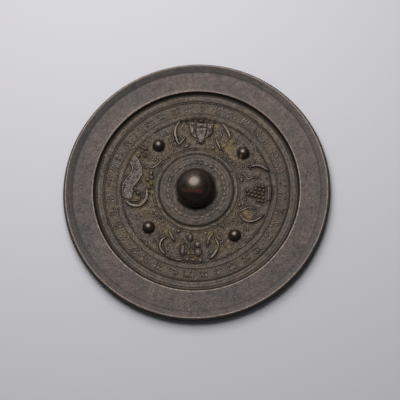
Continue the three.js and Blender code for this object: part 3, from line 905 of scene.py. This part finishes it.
# One finish for each zone, in the order of the zones. Earth and shade: how much dirt and painted shade, and
# the share of ochre
# in it. Skin: grain and pits.
FINISHES = {
    "rim_bronze": dict(
        brown=(0.083, 0.063, 0.056), grey=(0.064, 0.054, 0.05), green=0.3, contrast=1.1, earth_and_shade=(0.9, 0.15),
        wear=0.8, skin=(0.9, 0.6), metallic=0.65, roughness=0.44, bump=0.6, scrolled=True),
    "ground_bronze": dict(
        brown=(0.112, 0.084, 0.062), grey=(0.09, 0.075, 0.064), green=0.4, contrast=0.9, earth_and_shade=(0.9, 0.8),
        wear=0.55, skin=(0.9, 0.6), metallic=0.6, roughness=0.46, bump=0.6, chased=True),
    "boss_bronze": dict(
        brown=(0.12, 0.088, 0.066), grey=(0.13, 0.1, 0.08), corrosion=(0.04, 0.042, 0.033),
        dirt_and_shade=(0.03, 0.02, 0.014), green=0.2, contrast=0.45, earth_and_shade=(0, 0), wear=0, skin=(0.25, 0.2),
        metallic=0.93, roughness=0.36, bump=0.12),
    "face_bronze": dict(
        brown=(0.11, 0.088, 0.07), grey=(0.09, 0.082, 0.07), corrosion=(0.05, 0.065, 0.05), green=0.8,
        contrast=0.3, earth_and_shade=(0.2, 0.2), wear=0.2, skin=(0.3, 0.3), metallic=0.85, roughness=0.36, bump=0.3),
    # The outer wall: grey-green patina darkened as painted shade.
    "edge_bronze_painted_shade": dict(
        brown=(0.034, 0.034, 0.03), grey=(0.03, 0.032, 0.028), green=0.3, contrast=0.5, earth_and_shade=(0.6, 0.1),
        wear=0.15, skin=(0.9, 0.6), metallic=0.4, roughness=0.6, bump=0.5),
}
KINDS = {"colour": "NodeSocketColor", "vector": "NodeSocketVector"}


class Web:
    """A short way to lay out nodes in a material or a group."""

    def __init__(self, tree):
        self.tree = tree

    def add(self, kind, inputs=(), **settings):
        node = self.tree.nodes.new(kind)
        for key, value in settings.items():
            setattr(node, key, value)
        for key, value in dict(inputs).items():
            self.feed(node.inputs[key], value)
        return node

    def feed(self, socket, value):
        if isinstance(value, bpy.types.NodeSocket):
            self.tree.links.new(value, socket)
        elif isinstance(value, tuple) and len(value) == 3 and socket.type == "RGBA":
            socket.default_value = (*value, 1)
        else:
            socket.default_value = value

    def use(self, tree_name, position, **inputs):
        """A shared group, placed with its own values. An underscore stands for a space."""
        node = self.add("ShaderNodeGroup", node_tree=bpy.data.node_groups[tree_name])
        for key, value in {"Position": position, **inputs}.items():
            self.feed(node.inputs[key.replace("_", " ")], value)
        return node.outputs

    def mark(self, name):
        """A value that mark_wear_and_shade stored on the mesh."""
        return self.add("ShaderNodeAttribute", attribute_name=name).outputs["Fac"]

    def math(self, operation, *values, clamp=False):
        inputs = dict(enumerate(values))
        return self.add("ShaderNodeMath", inputs, operation=operation, use_clamp=clamp).outputs[0]

    def plus(self, a, b, clamp=False):
        return self.math("ADD", a, b, clamp=clamp)

    def minus(self, a, b, clamp=False):
        return self.math("SUBTRACT", a, b, clamp=clamp)

    def times(self, a, b, clamp=False):
        return self.math("MULTIPLY", a, b, clamp=clamp)

    def more(self, base, value, share, clamp=False):
        """A share of a value added to another."""
        return self.math("MULTIPLY_ADD", value, share, base, clamp=clamp)

    def noise(self, position, scale, detail=4.0, roughness=0.55, distortion=0.0):
        node = self.add("ShaderNodeTexNoise", {"Vector": position, "Scale": scale, "Detail": detail,
                                               "Roughness": roughness, "Distortion": distortion})
        return node.outputs[0]

    def ease(self, value, low, high, to_low=0.0, to_high=1.0):
        """A value brought from one range into another, with soft ends."""
        ends = {"Value": value, "From Min": low, "From Max": high, "To Min": to_low, "To Max": to_high}
        return self.add("ShaderNodeMapRange", ends, interpolation_type="SMOOTHSTEP").outputs[0]

    def mix(self, factor, a, b, blend="MIX"):
        node = self.add("ShaderNodeMix", {0: factor, 6: a, 7: b}, data_type="RGBA", blend_type=blend)
        return node.outputs[2]


def group(name, **inputs):
    """A new node group, its inputs and the position. An input is a kind or a first value."""
    tree = bpy.data.node_groups.new(name, "ShaderNodeTree")
    for label, value in {"Position": "vector", **inputs}.items():
        kind = KINDS.get(value, "NodeSocketFloat")
        socket = tree.interface.new_socket(label.replace("_", " "), in_out="INPUT", socket_type=kind)
        if value not in KINDS:
            socket.default_value = value
    web = Web(tree)
    given = web.add("NodeGroupInput").outputs
    return web, given, given["Position"]


def give(web, **values):
    """Ends a group with the values that it puts out."""
    for label, value in values.items():
        kind = KINDS["colour"] if value.type == "RGBA" else "NodeSocketFloat"
        web.tree.interface.new_socket(label, in_out="OUTPUT", socket_type=kind)
    made = web.add("NodeGroupOutput").inputs
    for label, value in values.items():
        web.feed(made[label], value)


def make_patina_group():
    """Mottled bronze: brown going to grey, dark cloudy stains and thin green corrosion."""
    web, given, place = group("patina", Brown="colour", Grey="colour", Green="colour",
                              Green_amount=0.3, Contrast=0.4)
    cloud = web.noise(place, 42, 5, 0.6, 0.4)
    stain = web.noise(place, 260, 6, 0.7, 0.8)
    grain = web.noise(place, 1500, 3, 0.7)
    colour = web.mix(web.ease(cloud, 0.38, 0.62), given["Brown"], given["Grey"])
    depth = web.more(web.times(stain, 0.6), grain, 0.4)
    tone = web.more(1.0, web.times(web.minus(depth, 0.5), given["Contrast"]), 4.0)
    shade = web.add("ShaderNodeCombineColor", {0: tone, 1: tone, 2: tone}).outputs[0]
    colour = web.mix(1.0, colour, shade, "MULTIPLY")
    patch = web.ease(web.noise(place, 30, 6, 0.65, 1.0), 0.52, 0.7)
    green = web.times(patch, given["Green amount"], True)
    give(web, Colour=web.mix(green, colour, given["Green"]), Stain=depth)


def make_earth_and_shade_group():
    """Dark dirt and painted shade, and ochre earth, that lie in hollows."""
    web, given, place = group("earth_and_shade", Colour="colour", Hollow=0.0, Earth="colour", Dirt="colour",
                              Amount=0.6, Ochre_share=0.5, Earthy=1.0)
    ragged = web.more(-0.25, web.noise(place, 700, 4, 0.65), 0.5)
    lie = web.times(web.ease(web.plus(given["Hollow"], ragged), 0.08, 0.75), given["Amount"], True)
    ochre = web.ease(web.noise(place, 95, 5, 0.65, 0.6), 0.42, 0.62)
    ochre = web.times(web.times(ochre, given["Ochre share"]), given["Earthy"], True)
    soil_and_shade = web.mix(ochre, given["Dirt"], given["Earth"])
    give(web, Colour=web.mix(lie, given["Colour"], soil_and_shade), Mask=lie)


def make_chasing_group():
    """Fine lines that follow the forms across the ground, broken and worn."""
    web, given, place = group("chasing", Clear=9.0, Pitch=1.3, Amount=1.0)
    sway = web.more(given["Clear"], web.noise(place, 300, 3, 0.5), 1.6)
    turn = web.math("DIVIDE", sway, given["Pitch"])
    wave = web.math("SINE", web.times(turn, 2 * math.pi))
    broken = web.ease(web.noise(place, 520, 3, 0.6), 0.35, 0.6)
    give(web, Line=web.times(web.times(wave, broken), given["Amount"]))


def make_turned_group():
    """Radius in millimetres and turn in rounds about the mirror's axis."""
    web, _, place = group("turned")
    part = web.add("ShaderNodeSeparateXYZ", {0: place}).outputs
    across = web.add("ShaderNodeCombineXYZ", {0: part[0], 1: part[1]}).outputs[0]
    length = web.add("ShaderNodeVectorMath", {0: across}, operation="LENGTH").outputs["Value"]
    turn = web.math("DIVIDE", web.math("ARCTAN2", part[1], part[0]), 2 * math.pi)
    give(web, Radius=web.times(length, 1000), Turn=turn)


def make_threads_group():
    """The crisp edges of the ring threads and the fine teeth of the comb band."""
    web, _, place = group("threads")
    turned_place = web.use("turned", place)
    radius = turned_place["Radius"]
    line = 0.0
    for thread_radius, half in THREADS:
        gap = web.math("ABSOLUTE", web.minus(radius, thread_radius))
        line = web.plus(line, web.ease(gap, half, 0.3 * half))
    worn = web.ease(web.noise(place, 160, 3, 0.5), 0.3, 0.6, 0.6)
    tooth = web.math("COSINE", web.times(turned_place["Turn"], 2 * math.pi * COMB_TEETH))
    inner = web.ease(radius, COMB_IN, COMB_IN + 0.4)
    outer = web.ease(radius, COMB_OUT, COMB_OUT - 0.4)
    tooth = web.times(tooth, web.times(inner, outer))
    patchy = web.ease(web.noise(place, 60, 3, 0.5), 0.35, 0.65, 0.2)
    give(web, Line=web.times(line, worn), Tooth=web.times(tooth, patchy))


def make_scrolls_group():
    """A row of scrolls along the middle of the rim, worn until they hardly show."""
    web, _, place = group("scrolls")
    turned_place = web.use("turned", place)
    along = web.minus(web.math("FRACT", web.times(turned_place["Turn"], SCROLLS)), 0.5)
    along = web.times(along, 2 * math.pi * SCROLL_CIRCLE / SCROLLS)
    out = web.minus(turned_place["Radius"], SCROLL_CIRCLE)
    reach = web.math("SQRT", web.plus(web.math("POWER", along, 2), web.math("POWER", out, 2)))
    bend = web.math("DIVIDE", web.math("ARCTAN2", out, along), 2 * math.pi)
    wave = web.plus(web.math("DIVIDE", reach, SCROLL_PITCH), bend)
    line = web.math("SINE", web.times(wave, 2 * math.pi))
    line = web.times(line, web.ease(reach, SCROLL_REACH, 0.6 * SCROLL_REACH))
    worn = web.ease(web.noise(place, 90, 4, 0.6), 0.4, 0.65, 0.15)
    give(web, Line=web.times(line, worn))


def make_wear_group():
    """Metal rubbed bright where the form stands out."""
    web, given, place = group("wear", Colour="colour", Crest=0.0, Metal="colour", Amount=0.5)
    rubbed = web.ease(web.noise(place, 420, 4, 0.6), 0.3, 0.7, 0.45, 1.1)
    mask = web.times(web.ease(given["Crest"], 0.12, 0.85), rubbed)
    mask = web.times(mask, given["Amount"], True)
    give(web, Colour=web.mix(mask, given["Colour"], given["Metal"]), Mask=mask)


def make_skin_group():
    """The fine relief of a cast and corroded skin: grain, lumps and pits."""
    web, given, place = group("skin", Grain=0.5, Pits=0.5)
    grain = web.times(web.noise(place, 1100, 5, 0.7), given["Grain"])
    height = web.more(grain, web.noise(place, 240, 3, 0.5), 0.8)
    cell = web.add("ShaderNodeTexVoronoi", {"Vector": place, "Scale": 620})
    pits = web.times(web.ease(cell.outputs["Distance"], 0.36, 0.16), given["Pits"])
    give(web, Height=web.minus(height, pits))


def bronze(name, brown, grey, green, contrast, earth_and_shade, wear, skin, metallic, roughness, bump,
           corrosion=CORROSION, dirt_and_shade=DIRT_AND_SHADE, chased=False, scrolled=False):
    """A bronze finish: patina, then cast relief, dirt and painted shade, rubbed metal, the cool skin and
    earth.
    """
    material = bpy.data.materials.new(name)
    material.use_nodes = True
    web = Web(material.node_tree)
    shader = material.node_tree.nodes["Principled BSDF"]
    place = web.add("ShaderNodeTexCoord").outputs["Object"]
    hollow, crest, earthy = web.mark("hollow"), web.mark("crest"), web.mark("earthy")
    relief = web.use("skin", place, Grain=skin[0], Pits=skin[1])["Height"]
    patina = web.use("patina", place, Brown=brown, Grey=grey, Green=corrosion, Green_amount=green,
                     Contrast=contrast)
    colour = patina["Colour"]
    scored = 0.0
    if chased:
        raised = web.mark("raised")
        line = web.use("chasing", place, Clear=web.mark("clear"), Amount=earthy)["Line"]
        thread = web.use("threads", place)
        hollow = web.more(hollow, line, -0.45, True)
        # Painted shade and dirt in the thread grooves.
        hollow = web.more(hollow, thread["Line"], 0.8, True)
        hollow = web.more(hollow, thread["Tooth"], -0.16, True)
        crest = web.more(crest, line, 0.28, True)
        relief = web.more(relief, line, 0.9)
        relief = web.more(relief, thread["Line"], -1.2)
        relief = web.more(relief, thread["Tooth"], 0.5)
        colour = web.mix(web.times(raised, 0.85), colour, RAISED_TONE)
        scored = web.times(thread["Line"], 0.85)
        earthy = web.times(earthy, web.ease(raised, 0.2, 0.9, 1.0, 0.25))
    if scrolled:
        scroll = web.use("scrolls", place)["Line"]
        relief = web.more(relief, scroll, 0.45)
        hollow = web.more(hollow, scroll, -0.1, True)
        crest = web.more(crest, scroll, 0.12, True)
    soil_and_shade = web.use("earth_and_shade", place, Colour=colour, Hollow=hollow, Earth=OCHRE, Dirt=dirt_and_shade,
                   Amount=earth_and_shade[0], Ochre_share=earth_and_shade[1], Earthy=earthy)
    rubbed = web.use("wear", place, Colour=soil_and_shade["Colour"], Crest=crest, Metal=RUBBED_METAL, Amount=wear)
    crumbs = web.ease(web.plus(web.mark("deposit"), web.noise(place, 520, 5, 0.7)), 0.95, 1.3)
    colour = web.mix(web.times(web.mark("cool"), 0.5), rubbed["Colour"], COOL_TONE)
    # The thread grooves painted near-black: painted shade and dirt.
    colour = web.mix(scored, colour, dirt_and_shade)
    colour = web.mix(web.times(crumbs, 0.75), colour, BRIGHT_EARTH)
    web.feed(shader.inputs["Base Color"], colour)
    metal = web.more(metallic, soil_and_shade["Mask"], -metallic)
    metal = web.more(metal, rubbed["Mask"], 0.2, True)
    web.feed(shader.inputs["Metallic"], web.minus(metal, crumbs, True))
    rough = web.more(roughness - 0.15, patina["Stain"], 0.3)
    rough = web.more(rough, soil_and_shade["Mask"], 0.3)
    rough = web.more(rough, rubbed["Mask"], -0.12)
    web.feed(shader.inputs["Roughness"], web.more(rough, crumbs, 0.3, True))
    shader.inputs["Specular IOR Level"].default_value = 0.3
    normal = web.add("ShaderNodeBump", {"Height": relief, "Strength": bump, "Distance": 0.0002})
    web.feed(shader.inputs["Normal"], normal.outputs[0])
    return material


def polish(material):
    """A handled gloss over the boss, with a red streak."""
    web = Web(material.node_tree)
    shader = material.node_tree.nodes["Principled BSDF"]
    place = web.add("ShaderNodeTexCoord").outputs["Object"]
    ragged = web.noise(place, 300, 5, 0.75)
    streak = web.ease(web.times(web.mark("streak"), ragged), 0.24, 0.52, 0.0, 0.8)
    colour = shader.inputs["Base Color"].links[0].from_socket
    web.feed(shader.inputs["Base Color"], web.mix(streak, colour, RED_STREAK_TONE))
    metal = shader.inputs["Metallic"].links[0].from_socket
    web.feed(shader.inputs["Metallic"], web.minus(metal, streak, True))
    gloss = web.ease(web.noise(place, 330, 4, 0.6), 0.3, 0.7, 0.4, 0.15)
    web.feed(shader.inputs["Coat Weight"], gloss)
    shader.inputs["Coat Roughness"].default_value = 0.12
    shader.inputs["Coat IOR"].default_value = 1.6


def make_materials():
    for make in (make_patina_group, make_chasing_group, make_turned_group, make_threads_group,
                 make_scrolls_group, make_earth_and_shade_group, make_wear_group, make_skin_group):
        make()
    finishes = [bronze(name, **values) for name, values in FINISHES.items()]
    polish(finishes[BOSS])
    return finishes


# ---- Scene ----
bpy.context.scene.view_settings.view_transform = "Standard"
studio_camera()
studio_lights()
studio_world()
studio_floor()

mirror = casting()
mark_wear_and_shade(mirror)
mirror.data.materials.clear()
for finish in make_materials():
    mirror.data.materials.append(finish)
for polygon in mirror.data.polygons:
    polygon.material_index = zone_of(polygon.center, polygon.normal)
only(mirror)
bpy.ops.object.shade_smooth_by_angle(angle=math.radians(50))
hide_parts("mirror")
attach(mirror, "root")
